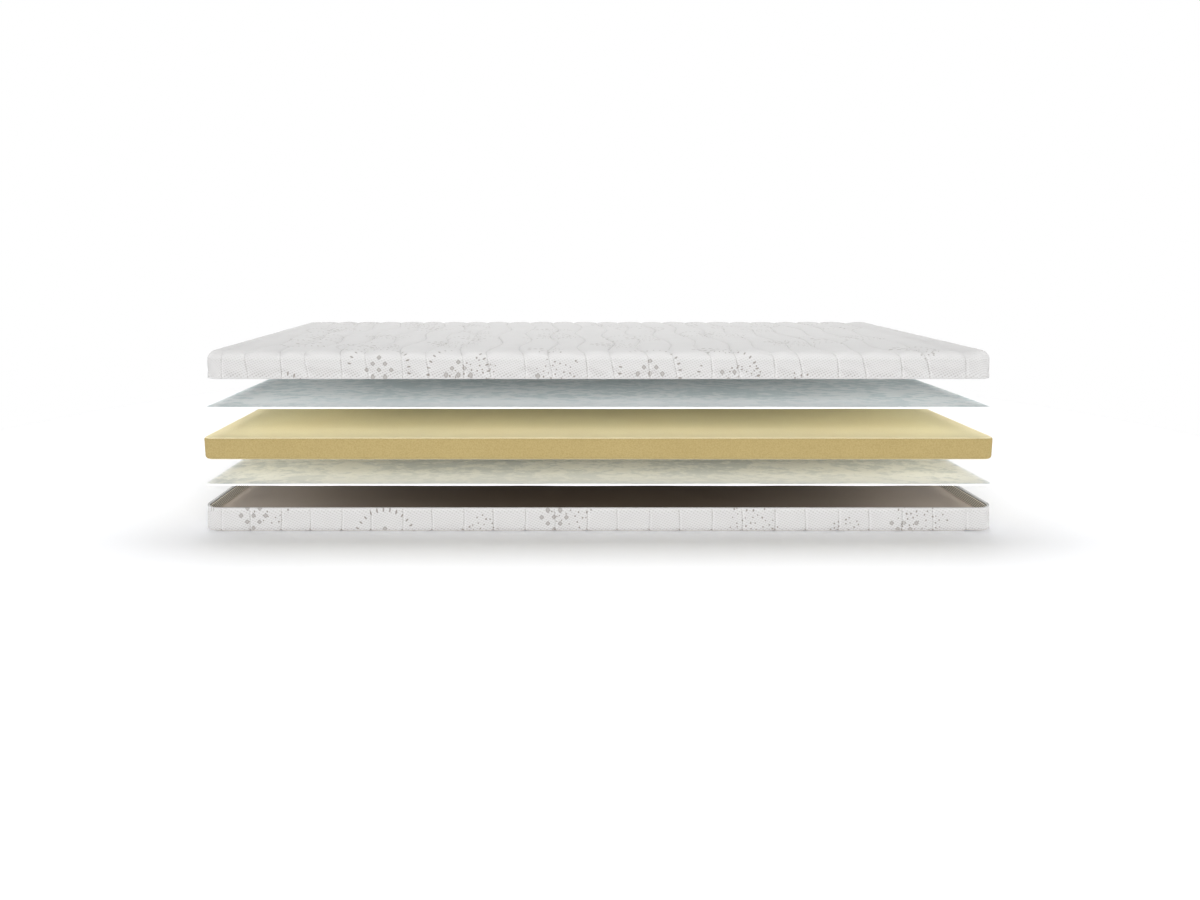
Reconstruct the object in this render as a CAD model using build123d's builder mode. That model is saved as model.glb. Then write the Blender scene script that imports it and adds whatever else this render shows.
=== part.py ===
from build123d import *
import os

# A memory foam mattress with a two-part quilted cover, its layers lifted apart.
# Millimetres. The origin is on the underside, at the middle. +X runs along the long side,
# +Y towards the back (the zip's straight run), +Z up.

# ---- driving dimensions: the covers ----
length = 2000.0  # long side of the mattress
width = 900.0  # short side of the mattress
corner_radius = 45.0  # of the covers, seen from above
shoulder_radius = 22.0  # along the top cover's upper edge
foot_radius = 8.0  # along the bottom cover's lower edge
outer_thickness = 1.5  # quilted knit, the outside of each cover
lining_thickness = 1.0  # the inside of each cover
wall_thickness = 7.0  # a whole side wall: knit, wadding and lining
floor_thickness = 31.0  # the whole padded floor of the bottom cover
top_panel_thickness = 28.9  # the whole padded panel of the top cover
band_thickness = 1.2  # ribbed band sewn round the bottom cover's inner wall
band_drop = 2.3  # from the bottom cover's rim down to the ribbed band
binding_height = 5.0  # hem round each cover's rim

# ---- driving dimensions: the layers between the covers ----
sheet_thickness = 6.0  # each felt sheet
foam_thickness = 57.0  # the foam core
foam_edge_radius = 7.0  # along the foam core's edges
layer_clearance = 0.3  # between one layer and the next, closed
side_clearance = 2.0  # between a layer's side and the ribbed band

# ---- driving dimensions: how far each layer is lifted off the one below ----
lower_sheet_lift = 80.6
foam_lift = 58.7
upper_sheet_lift = 72.3
top_cover_lift = 111.2

# ---- driving dimensions: the zip ----
mid_height = 60.6  # middle of the zip above the underside, closed
rim_setback = 4.8  # from the middle of the zip to each rim
tape_thickness = 0.8
tape_seam = 4.0  # depth of tape sewn into the hem
chain_height = 2.6  # one half of the chain, across the zip
chain_depth = 2.4  # through the wall
chain_gap = 1.2  # between the two halves, filled by the interlocking heads
stop_length = 3.0
stop_depth = 2.8
end_gap = 4.0  # between the two ends of the bottom chain's stops
end_margin = 4.0  # from the rounded corner to the first stop

# ---- driving dimensions: the slider and its pull tab ----
slider_length = 14.0
slider_height = 8.5
slider_plate = 1.1
slider_play = 0.3  # slider to chain and tape
parking_play = 1.5  # between the parked slider and the top chain's first stop
core_length = 4.0  # web that joins the slider's two plates
bail_length = 6.4
bail_width = 2.4
bail_bar = 0.8
bail_opening_length = 3.6
bail_opening_height = 2.2
tab_length = 24.0
tab_width = 7.0
tab_thickness = 1.2
tab_window_length = 4.6
tab_window_width = 3.4

# ---- heights of the closed mattress ----
rim_height = mid_height - rim_setback
binding_base = rim_height - binding_height
lower_sheet_seat = floor_thickness + layer_clearance
foam_seat = lower_sheet_seat + sheet_thickness + layer_clearance
upper_sheet_seat = foam_seat + foam_thickness + layer_clearance
panel_seat = upper_sheet_seat + sheet_thickness + layer_clearance
closed_height = panel_seat + top_panel_thickness

# ---- how far each layer stands above its closed place ----
foam_rise = lower_sheet_lift + foam_lift
upper_sheet_rise = foam_rise + upper_sheet_lift
cover_rise = upper_sheet_rise + top_cover_lift

# ---- heights of the lifted top cover ----
cover_top = closed_height + cover_rise
panel_base = panel_seat + cover_rise
cover_rim = mid_height + rim_setback + cover_rise
cover_binding_top = cover_rim + binding_height
cover_mid = mid_height + cover_rise

# ---- insets from the outside of the covers ----
lining_inset = wall_thickness - lining_thickness
band_inset = wall_thickness + band_thickness
layer_inset = band_inset + side_clearance
chain_inset = wall_thickness / 2 - chain_depth / 2
tape_inset = wall_thickness / 2 - tape_thickness / 2

# ---- the zip's run along the back ----
chain_y = width / 2 - wall_thickness / 2
chain_reach = chain_gap / 2 + chain_height
corner_start = length / 2 - corner_radius
zip_end_x = -corner_start + end_margin
tape_end_x = zip_end_x + stop_length
tape_start_x = tape_end_x + end_gap
bottom_chain_x = tape_start_x + stop_length
slider_x = bottom_chain_x + slider_play + slider_length / 2
top_stop_x = slider_x + slider_length / 2 + parking_play
top_chain_x = top_stop_x + stop_length
slider_travel = corner_start - slider_length / 2 - slider_x

os.makedirs("parts", exist_ok=True)


def outline(inset):
    """The covers' outline from above, moved in by inset, in the sketch that is open."""
    RectangleRounded(length - 2 * inset, width - 2 * inset, corner_radius - inset)


def block(inset, bottom, top, bottom_radius=0.0, top_radius=0.0):
    """A solid block of that outline between two heights, with rounded lower or upper edges."""
    with BuildPart() as form:
        with BuildSketch(Plane.XY.offset(bottom)):
            outline(inset)
        extrude(amount=top - bottom)
        if bottom_radius > 0:
            fillet(form.faces().sort_by(Axis.Z)[0].edges(), bottom_radius)
        if top_radius > 0:
            fillet(form.faces().sort_by(Axis.Z)[-1].edges(), top_radius)
    return form.part


def ring(inset, depth, bottom, top):
    """A band round the whole outline: its outer face is moved in by inset, and it is depth thick."""
    with BuildPart() as band:
        with BuildSketch(Plane.XY.offset(bottom)):
            outline(inset)
            with BuildSketch(Plane.XY.offset(bottom), mode=Mode.PRIVATE) as hole:
                outline(inset + depth)
            add(hole.sketch, mode=Mode.SUBTRACT)
        extrude(amount=top - bottom)
    return band.part


def zip_gap(low_x, high_x, height):
    """The space between two places along the back, around a height, where a ring is interrupted."""
    with BuildPart() as gap:
        with BuildSketch(Plane.XY.offset(height - slider_height)):
            with Locations(((low_x + high_x) / 2, chain_y)):
                Rectangle(high_x - low_x, wall_thickness)
        extrude(amount=2 * slider_height)
    return gap.part


def stop_pair(first_x, second_x, bottom):
    """Two end stops on the tape's edge, each given by its lower X."""
    with BuildPart() as stops:
        with BuildSketch(Plane.XY.offset(bottom)):
            with Locations(
                (first_x + stop_length / 2, chain_y), (second_x + stop_length / 2, chain_y)
            ):
                Rectangle(stop_length, stop_depth)
        extrude(amount=chain_height)
    return stops.part


# ======== bottom cover ========
with BuildPart() as bottom_outer_fabric:
    add(block(0, 0, binding_base, bottom_radius=foot_radius))
    add(
        block(
            outer_thickness, outer_thickness, binding_base, foot_radius - outer_thickness
        ),
        mode=Mode.SUBTRACT,
    )

with BuildPart() as bottom_wadding:
    add(block(outer_thickness, outer_thickness, binding_base, foot_radius - outer_thickness))
    add(
        block(lining_inset, floor_thickness - lining_thickness, binding_base),
        mode=Mode.SUBTRACT,
    )

with BuildPart() as bottom_lining:
    add(block(lining_inset, floor_thickness - lining_thickness, binding_base))
    add(block(wall_thickness, floor_thickness, binding_base), mode=Mode.SUBTRACT)

with BuildPart() as bottom_inner_band:
    add(ring(wall_thickness, band_thickness, floor_thickness, rim_height - band_drop))

with BuildPart() as bottom_rim_binding:
    add(ring(0, wall_thickness, binding_base, rim_height))
    add(
        ring(tape_inset, tape_thickness, rim_height - tape_seam, rim_height),
        mode=Mode.SUBTRACT,
    )

with BuildPart() as bottom_zip_tape:
    add(ring(tape_inset, tape_thickness, rim_height - tape_seam, mid_height - chain_reach))
    add(zip_gap(tape_end_x, tape_start_x, mid_height), mode=Mode.SUBTRACT)

with BuildPart() as bottom_zip_chain:
    add(
        ring(chain_inset, chain_depth, mid_height - chain_reach, mid_height - chain_gap / 2)
    )
    add(zip_gap(zip_end_x, bottom_chain_x, mid_height), mode=Mode.SUBTRACT)

with BuildPart() as bottom_zip_stops:
    add(stop_pair(zip_end_x, tape_start_x, mid_height - chain_reach))

# ======== layers ========
with BuildPart() as lower_felt_sheet:
    sheet_z = lower_sheet_seat + lower_sheet_lift
    add(block(layer_inset, sheet_z, sheet_z + sheet_thickness))

with BuildPart() as foam_core:
    foam_z = foam_seat + foam_rise
    add(
        block(
            layer_inset, foam_z, foam_z + foam_thickness, foam_edge_radius, foam_edge_radius
        )
    )

with BuildPart() as upper_felt_sheet:
    sheet_z = upper_sheet_seat + upper_sheet_rise
    add(block(layer_inset, sheet_z, sheet_z + sheet_thickness))

# ======== top cover ========
with BuildPart() as top_outer_fabric:
    add(block(0, cover_binding_top, cover_top, top_radius=shoulder_radius))
    add(
        block(
            outer_thickness,
            cover_binding_top,
            cover_top - outer_thickness,
            top_radius=shoulder_radius - outer_thickness,
        ),
        mode=Mode.SUBTRACT,
    )

with BuildPart() as top_wadding:
    add(
        block(
            outer_thickness,
            cover_binding_top,
            cover_top - outer_thickness,
            top_radius=shoulder_radius - outer_thickness,
        )
    )
    add(
        block(lining_inset, cover_binding_top, panel_base + lining_thickness),
        mode=Mode.SUBTRACT,
    )

with BuildPart() as top_lining:
    add(block(lining_inset, cover_binding_top, panel_base + lining_thickness))
    add(block(wall_thickness, cover_binding_top, panel_base), mode=Mode.SUBTRACT)

with BuildPart() as top_rim_binding:
    add(ring(0, wall_thickness, cover_rim, cover_binding_top))
    add(
        ring(tape_inset, tape_thickness, cover_rim, cover_rim + tape_seam),
        mode=Mode.SUBTRACT,
    )

with BuildPart() as top_zip_tape:
    add(ring(tape_inset, tape_thickness, cover_mid + chain_reach, cover_rim + tape_seam))
    add(zip_gap(tape_end_x, tape_start_x, cover_mid), mode=Mode.SUBTRACT)

with BuildPart() as top_zip_chain:
    add(ring(chain_inset, chain_depth, cover_mid + chain_gap / 2, cover_mid + chain_reach))
    add(zip_gap(zip_end_x, top_chain_x, cover_mid), mode=Mode.SUBTRACT)

with BuildPart() as top_zip_stops:
    add(stop_pair(zip_end_x, top_stop_x, cover_mid + chain_gap / 2))

# ======== slider and pull tab ========
channel_half = chain_depth / 2 + slider_play
slider_face = channel_half + slider_plate
hinge_y = chain_y + slider_face + bail_opening_height / 2
across = Plane(origin=(slider_x, chain_y, mid_height), x_dir=(0, 1, 0), z_dir=(1, 0, 0))

with BuildPart() as zip_slider:
    with BuildSketch(across):
        Rectangle(2 * slider_face, slider_height)
        Rectangle(2 * channel_half, 2 * (chain_reach + slider_play), mode=Mode.SUBTRACT)
        Rectangle(tape_thickness + 2 * slider_play, slider_height, mode=Mode.SUBTRACT)
    extrude(amount=slider_length / 2, both=True)
    fillet(zip_slider.edges().filter_by(Axis.Y).group_by(Axis.X)[0], slider_play)
    with BuildSketch(across):
        Rectangle(2 * channel_half, chain_gap - 2 * slider_play)
    extrude(amount=core_length / 2, both=True)
    with BuildSketch(Plane.XY.offset(mid_height)):
        with Locations((slider_x, chain_y + slider_face)):
            Rectangle(
                bail_length, bail_opening_height + bail_bar, align=(Align.CENTER, Align.MIN)
            )
            Rectangle(
                bail_opening_length,
                bail_opening_height,
                align=(Align.CENTER, Align.MIN),
                mode=Mode.SUBTRACT,
            )
    extrude(amount=bail_width / 2, both=True)

tab_plane = Plane(origin=(slider_x, hinge_y, mid_height), x_dir=(-1, 0, 0), z_dir=(0, 1, 0))
tab_bar = tab_thickness / 2  # radius of the round bar that turns in the bail

with BuildPart() as zip_pull_tab:
    with BuildSketch(tab_plane):
        Rectangle(tab_length - tab_bar, tab_width, align=(Align.MIN, Align.CENTER))
        Rectangle(
            tab_window_length + tab_bar,
            tab_window_width,
            align=(Align.MIN, Align.CENTER),
            mode=Mode.SUBTRACT,
        )
    extrude(amount=tab_bar, both=True)
    fillet(zip_pull_tab.edges().filter_by(Axis.Y).group_by(Axis.X)[0], tab_width / 4)
    with BuildSketch(Plane.XY.offset(mid_height)):
        with Locations((slider_x, hinge_y)):
            Circle(tab_bar)
    extrude(amount=tab_width / 2, both=True)

nodes = {
    "bottom_outer_fabric": bottom_outer_fabric,
    "bottom_wadding": bottom_wadding,
    "bottom_lining": bottom_lining,
    "bottom_inner_band": bottom_inner_band,
    "bottom_rim_binding": bottom_rim_binding,
    "bottom_zip_tape": bottom_zip_tape,
    "bottom_zip_chain": bottom_zip_chain,
    "bottom_zip_stops": bottom_zip_stops,
    "lower_felt_sheet": lower_felt_sheet,
    "foam_core": foam_core,
    "upper_felt_sheet": upper_felt_sheet,
    "top_outer_fabric": top_outer_fabric,
    "top_wadding": top_wadding,
    "top_lining": top_lining,
    "top_rim_binding": top_rim_binding,
    "top_zip_tape": top_zip_tape,
    "top_zip_chain": top_zip_chain,
    "top_zip_stops": top_zip_stops,
    "zip_slider": zip_slider,
    "zip_pull_tab": zip_pull_tab,
}
for name, node in nodes.items():
    node.part.label = name
    export_step(node.part, f"parts/{name}.step")

print(f"closed height {closed_height:.1f}, lifted height {cover_top:.1f}")
print(f"slider travel {slider_travel:.1f} from x {slider_x:.1f}")
print(f"pull tab hinge at x {slider_x:.2f}, y {hinge_y:.2f}, z {mid_height:.2f}")
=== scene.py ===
import bpy
import math
import numpy as np
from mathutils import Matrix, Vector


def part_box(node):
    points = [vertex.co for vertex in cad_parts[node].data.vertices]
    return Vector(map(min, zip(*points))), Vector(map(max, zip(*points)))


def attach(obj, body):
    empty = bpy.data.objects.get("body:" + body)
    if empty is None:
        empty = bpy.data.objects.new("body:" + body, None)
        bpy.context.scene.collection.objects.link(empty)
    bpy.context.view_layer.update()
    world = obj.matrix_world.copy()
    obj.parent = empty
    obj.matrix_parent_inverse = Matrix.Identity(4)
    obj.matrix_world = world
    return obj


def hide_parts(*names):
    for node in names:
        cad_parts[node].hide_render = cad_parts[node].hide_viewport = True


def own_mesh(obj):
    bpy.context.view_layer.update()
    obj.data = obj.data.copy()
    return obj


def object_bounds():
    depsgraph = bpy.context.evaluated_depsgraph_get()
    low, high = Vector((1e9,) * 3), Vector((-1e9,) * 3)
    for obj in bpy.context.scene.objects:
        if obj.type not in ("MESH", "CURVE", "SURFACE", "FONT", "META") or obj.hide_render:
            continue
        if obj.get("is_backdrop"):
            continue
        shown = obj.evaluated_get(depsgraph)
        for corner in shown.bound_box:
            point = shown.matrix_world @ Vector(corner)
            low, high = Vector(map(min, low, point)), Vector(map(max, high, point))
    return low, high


# A memory foam mattress with its quilted cover opened and its layers lifted apart.
# Metres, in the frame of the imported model: +X along the long side, +Y to the back, +Z up.

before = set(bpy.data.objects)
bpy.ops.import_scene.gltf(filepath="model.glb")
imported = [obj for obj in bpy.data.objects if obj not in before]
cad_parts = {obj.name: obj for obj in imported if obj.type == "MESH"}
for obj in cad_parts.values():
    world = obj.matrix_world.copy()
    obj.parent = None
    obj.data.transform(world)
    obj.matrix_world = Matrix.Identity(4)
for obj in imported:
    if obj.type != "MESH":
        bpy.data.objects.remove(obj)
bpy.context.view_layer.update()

# ---- places from the frame ----
BOTTOM_LOW, BOTTOM_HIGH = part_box("bottom_outer_fabric")
BOTTOM_LINING_LOW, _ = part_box("bottom_lining")
BAND_LOW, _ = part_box("bottom_inner_band")
BOTTOM_HEM_LOW, BOTTOM_HEM_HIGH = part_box("bottom_rim_binding")
_, BOTTOM_CHAIN_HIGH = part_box("bottom_zip_chain")
_, TOP_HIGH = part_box("top_outer_fabric")
_, TOP_LINING_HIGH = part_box("top_lining")
TOP_HEM_LOW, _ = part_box("top_rim_binding")
TOP_CHAIN_LOW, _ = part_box("top_zip_chain")
FOAM_LOW, FOAM_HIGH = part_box("foam_core")

HALF_X = BOTTOM_HIGH.x
HALF_Y = BOTTOM_HIGH.y
CORNER = 0.045  # plan radius of the covers
CORE = CORE_X, CORE_Y = HALF_X - CORNER, HALF_Y - CORNER  # of the flat part inside the corners
WALL = 0.007  # side wall of the covers
LINING = 0.001
HEM_SLOPE = 0.0022  # the hem's inner edge is cut off by this much
LIP_DEPTH = 0.0017  # of the quilt's edge that stands in front of the zip
LIP_ROUND = 0.0006
RIM_WIDTH = 0.012  # of the wall's last part, where the quilting ends in that plain edge
HEM_HEIGHT = BOTTOM_HEM_HIGH.z - BOTTOM_HEM_LOW.z

# ---- quilting ----
RIBS = 6  # of the band round the bottom cover's inner wall. They end just above its hem
RIB_PITCH = (BOTTOM_HEM_HIGH.z + 0.0002 - BAND_LOW.z) / RIBS
RIB_HEIGHT = 0.0009
BAND_DEPTH = 0.0012

SEAM_PITCH = 0.07815  # between neighbouring seams, on the cloth
SEAM_START = -0.0294  # the seam nearest the middle
SEAM_DRIFT = 0.000113  # the pitch grows by twice this from each seam to the next
SEAM_LIMIT = CORE_X + 0.012  # of the seams on the large face. One more lies on each end wall
WAVE_LENGTH = 0.391  # of the seams' wave, front to back
WAVE_HEIGHT = 0.013
WAVE_MIDDLE = -0.0093  # of the wave, beside the seam's own line
WAVE_END = CORE_X + 0.02  # here the seams are straight
WAVE_FADE = 0.12  # over which the wave dies out before it
LEAN_REACH = 0.055  # down the front wall, over which the seams lean to one side
STITCH_WIDTH = 0.0013  # of the narrow groove that the thread pulls in
STITCH_DEPTH = 0.0011
PUCKER_WIDTH = 0.012  # of the small folds beside a seam
PUCKER_SIZE = 0.026
PUCKER_HEIGHT = 0.0005
DENT_SIZE = 0.045  # of the faint unevenness all over
DENT_HEIGHT = 0.0004
PILLOW_SIZE = 0.16  # over which the pillows differ in height
END_WIDTH = 0.03  # of the large face beside an end wall, where the quilting grows shallower
END_LOSS = 0.7  # share of the depth that is lost there
BACK_LOSS = 0.3  # and at the back
CREASE_SIZE, CREASE_HEIGHT = 0.33, 0.0005  # of the linings' broad creases
FOLD_SIZE, FOLD_HEIGHT = 0.09, 0.0003  # and of their sharper folds
FOOT_WIDTH = 0.0022  # of the seam that joins the bottom cover's wall to its large face
BESIDE_SEAM = (0.0, 0.0013, 0.0030, 0.0058, 0.0105, 0.0175, 0.0270)  # mesh columns from a seam


# ================================================================ mesh helpers
def make_mesh(name, points, faces, uv=None, smooth=True):
    """A mesh object from points, faces as lists of indices, and an optional (u, v) per point."""
    mesh = bpy.data.meshes.new(name)
    mesh.from_pydata(np.asarray(points).tolist(), [], faces)
    mesh.update()
    if smooth:
        mesh.shade_smooth()
    obj = bpy.data.objects.new(name, mesh)
    bpy.context.collection.objects.link(obj)
    if uv is not None:
        add_uv(obj, "cloth", uv)
    return obj


def add_uv(obj, name, values):
    """A UV map from one pair of numbers per point."""
    mesh = obj.data
    layer = mesh.uv_layers.new(name=name)
    corners = np.empty(len(mesh.loops), dtype=np.int32)
    mesh.loops.foreach_get("vertex_index", corners)
    layer.data.foreach_set("uv", np.asarray(values)[corners].astype(np.float32).ravel())


def grid_faces(rows, columns, wrap_rows=False, wrap_columns=False, first=0):
    """Quads over a grid of points stored row by row."""
    r = np.arange(rows if wrap_rows else rows - 1)
    c = np.arange(columns if wrap_columns else columns - 1)
    rr, cc = np.meshgrid(r, c, indexing="ij")
    r2, c2 = (rr + 1) % rows, (cc + 1) % columns
    quads = np.stack(
        [rr * columns + cc, rr * columns + c2, r2 * columns + c2, r2 * columns + cc], -1
    )
    return (quads.reshape(-1, 4) + first).tolist()


def flipped(faces):
    return [face[::-1] for face in faces]


def edge_loop(rows, columns):
    """Indices round the outside of a grid, in order."""
    top = [(0, c) for c in range(columns - 1)]
    right = [(r, columns - 1) for r in range(rows - 1)]
    bottom = [(rows - 1, c) for c in range(columns - 1, 0, -1)]
    left = [(r, 0) for r in range(rows - 1, 0, -1)]
    return [r * columns + c for r, c in top + right + bottom + left]


def closed_pair(outer, inner, rows, columns, rings=()):
    """A closed form: an outer and an inner skin on the same grid, joined by way of the rings."""
    count = rows * columns
    faces = grid_faces(rows, columns)
    faces += flipped(grid_faces(rows, columns, first=count))
    loop = edge_loop(rows, columns)
    levels = [loop]
    for k in range(len(rings)):
        levels.append([2 * count + k * len(loop) + i for i in range(len(loop))])
    levels.append([i + count for i in loop])
    for near, far in zip(levels[:-1], levels[1:]):
        for i in range(len(loop)):
            j = (i + 1) % len(loop)
            faces.append([near[j], near[i], far[i], far[j]])
    return np.concatenate([outer.reshape(-1, 3), inner.reshape(-1, 3), *rings]), faces


def around_core(s, t, core):
    """For coordinates over a flat core with rounded corners outside it: the distance past the
    core, and a function for the x and y of points that lie the same way at another distance."""
    p, q = (np.maximum(np.abs(a) - half, 0) for a, half in zip((s, t), core))
    d = np.maximum(p, q)
    safe = np.maximum(d, 1e-9)
    angle = np.where(p >= q, math.pi / 4 * q / safe, math.pi / 2 - math.pi / 4 * p / safe)
    angle = np.where(d > 0, angle, 0.0)

    def at(out):
        x = np.sign(s) * (np.minimum(np.abs(s), core[0]) + out * np.cos(angle))
        y = np.sign(t) * (np.minimum(np.abs(t), core[1]) + out * np.sin(angle))
        return x, y

    return d, at


def grid_lines(half, steps, count):
    """Evenly over a flat core from -half to half, and by the given steps past it on both sides."""
    return np.concatenate([-half - steps[::-1], np.linspace(-half, half, count), half + steps])


def smooth_step(x):
    x = np.clip(x, 0.0, 1.0)
    return x * x * (3 - 2 * x)


def ripple(u, v, size, seed, count=9):
    """Smooth irregular relief, nearly all from -1 to 1: a few waves of about the given size."""
    rng = np.random.default_rng(seed)
    total = np.zeros_like(u)
    for _ in range(count):
        angle = rng.uniform(0, math.pi)
        wave_length = size * rng.uniform(0.6, 1.7)
        phase = rng.uniform(0, 2 * math.pi)
        along = u * math.cos(angle) + v * math.sin(angle)
        total += np.sin(2 * math.pi * along / wave_length + phase)
    return total / (count**0.5 * 1.6)


# ================================================================ the covers' form
class Cover:
    """The skin of one half of the cover, as a flat cloth wrapped over a padded block."""

    def __init__(self, face, rim, edge, lip):
        self.face = face  # height of the large flat face
        self.rim = rim
        self.lip = lip  # how far the edge stands past the rim, on the front and the ends
        self.up = 1.0 if face > rim else -1.0
        self.edge = edge  # radius between the large face and the walls
        self.flat = CORNER - edge
        self.arc = edge * math.pi / 2
        self.bend = self.flat + self.arc
        self.reach = self.bend + abs(face - rim) - edge
        self.hem_base = rim + self.up * HEM_HEIGHT

    def steps(self, flat=4, arc=9, wall=9):
        """Distances from the flat core to the rim along the cloth, without the first, zero."""
        parts = ((0, self.flat, flat), (self.flat, self.bend, arc), (self.bend, self.reach, wall))
        return np.concatenate([np.linspace(a, b, count + 1)[1:] for a, b, count in parts])

    def profile(self, d):
        """For a distance along the cloth: how far out, how far down, and the normal's two parts."""
        phi = np.clip((d - self.flat) / self.edge, 0, math.pi / 2)
        wall = np.maximum(d - self.flat - self.arc, 0)
        out = np.minimum(d, self.flat) + self.edge * np.sin(phi)
        down = self.edge * (1 - np.cos(phi)) + wall
        return out, down, np.sin(phi), np.cos(phi)

    def wrap(self, s, t, lift):
        """Points of the skin for cloth coordinates s and t, raised by lift along its normal."""
        d, at = around_core(s, t, CORE)
        out, down, side, level = self.profile(d)
        down = down + self.lip * smooth_step(1 - (self.reach - d) / RIM_WIDTH) * self.hides_zip(t)
        z = self.face + self.up * (lift * level - down)
        return np.stack([*at(out + lift * side), z], -1)

    def hides_zip(self, t):
        """1 on the front and the ends, 0 along the back, where the slider runs."""
        return smooth_step((CORE_Y - 0.01 - t) / 0.03)

    def beneath(self, s, t, inset, ceiling):
        """The hollow behind the skin: out to the wall's inner face, then along it to the hem."""
        d, at = around_core(s, t, CORE)
        height = abs(ceiling - self.hem_base)
        share = np.maximum((d - self.bend) / (self.reach - self.bend), 0)
        z = ceiling - self.up * height * share
        return np.stack([*at((CORNER - inset) * np.minimum(d / self.bend, 1)), z], -1)

    def edge_ring(self, s, t, inset, height):
        """Points round the rim, moved in by inset, at the given heights."""
        x, y = around_core(s, t, CORE)[1](CORNER - inset)
        return np.stack([x, y, np.broadcast_to(height, x.shape)], -1)

    def cloth(self, s, t):
        """Where the knit's own pattern runs: flat coordinates, turned round the corners."""
        d, at = around_core(s, t, CORE)
        return np.stack(at(d), -1)


def seam_lines(end_seam):
    """Cloth coordinates of the seams along X, one more on each end wall, and the first's number."""
    count = int(CORE_X / SEAM_PITCH) + 2
    lines = [SEAM_START + k * SEAM_PITCH + k * k * SEAM_DRIFT for k in range(-count, count + 1)]
    first = next(k for k, x in enumerate(lines) if x > -SEAM_LIMIT) - count
    lines = [x for x in lines if abs(x) < SEAM_LIMIT]
    return np.array([-end_seam] + lines + [end_seam]), first - 1


def seam_wave(s, t, number, crests, leans):
    """Sideways wander of the seams. Neighbouring seams turn at different depths."""
    back = t + HALF_Y
    turn = 2 * math.pi / WAVE_LENGTH
    down = np.clip(-back / LEAN_REACH, 0, 1)  # 0 on the large face, 1 low on the front wall
    first, second = (
        WAVE_MIDDLE + lean * down - WAVE_HEIGHT * np.cos(turn * (back - crest))
        for crest, lean in zip(crests, leans)
    )
    mix = 0.5 - 0.5 * np.cos(math.pi * number)
    fade = smooth_step((WAVE_END - np.abs(s)) / WAVE_FADE)
    return fade * ((1 - mix) * first + mix * second)


def quilted_columns(seams, cover):
    """Cloth coordinates of the mesh columns: close together beside each seam."""
    ends, inner = CORE_X + cover.steps(), seams[1:-1]
    least = 0.002  # between the last seam's column and the next one
    columns = []
    for left, right in zip(inner[:-1], inner[1:]):
        columns += [left + step for step in BESIDE_SEAM]
        columns.append((left + right) / 2)
        columns += [right - step for step in BESIDE_SEAM[:0:-1]]
    columns.append(inner[-1])
    beyond_right = ends[ends > columns[-1] + least]
    beyond_left = ends[ends > -columns[0] + least]
    return np.concatenate([-beyond_left[::-1], columns, beyond_right])


def seam_distance(s, seams):
    """Distance past the nearest seam, below zero before it, and the place counted in channels."""
    index = np.clip(np.searchsorted(seams, s, side="right") - 1, 0, len(seams) - 2)
    left, right = seams[index], seams[index + 1]
    share = (s - left) / (right - left)
    return np.where(s - left < right - s, s - left, s - right), index + share


def quilt_relief(s, t, d, away, channel, cover, depths, crest, bulge, foot, seed):
    """How far the skin stands out of the padded block: pillows between sunk, puckered seams."""
    face_depth, edge_depth, wall_depth = depths
    side = cover.profile(d)[2]
    shoulder = np.sin(math.pi * np.clip((d - cover.flat * 0.3) / (cover.arc * 1.3), 0, 1)) ** 2
    near_end = np.abs(s) - CORE_X + END_WIDTH
    near_rim = smooth_step((cover.reach - d) / RIM_WIDTH)
    depth = face_depth + (wall_depth - face_depth) * side
    depth = depth + (edge_depth - depth) * shoulder
    depth = depth * (1 - END_LOSS * smooth_step(near_end / END_WIDTH))
    depth = depth * (1 - BACK_LOSS * smooth_step(t / CORE_Y))
    pillow = np.abs(np.sin(math.pi * channel)) ** 0.6
    crest = crest * (1 + 0.5 * ripple(s, t, PILLOW_SIZE, seed))
    lift = -depth + (depth + crest) * pillow
    lift = lift - STITCH_DEPTH * np.exp(-((away / STITCH_WIDTH) ** 2))
    pucker = np.exp(-((away / PUCKER_WIDTH) ** 2)) * ripple(s * 0.4, t, PUCKER_SIZE, seed + 1)
    lift = lift + PUCKER_HEIGHT * pucker + DENT_HEIGHT * ripple(s, t, DENT_SIZE, seed + 2)
    lift = lift * (0.25 + 0.75 * near_rim)
    start = cover.bend * 0.6  # the wall swells from here to its rim, and less at the ends
    swell = np.sin(math.pi * np.clip((d - start) / (cover.reach - start), 0, 1))
    lift = lift + bulge * swell * (1 - 0.75 * smooth_step(near_end / 0.04))
    if foot > 0:
        lift = lift - foot * np.exp(-(((d - cover.flat - cover.arc * 0.5) / FOOT_WIDTH) ** 2))
    return lift


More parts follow.
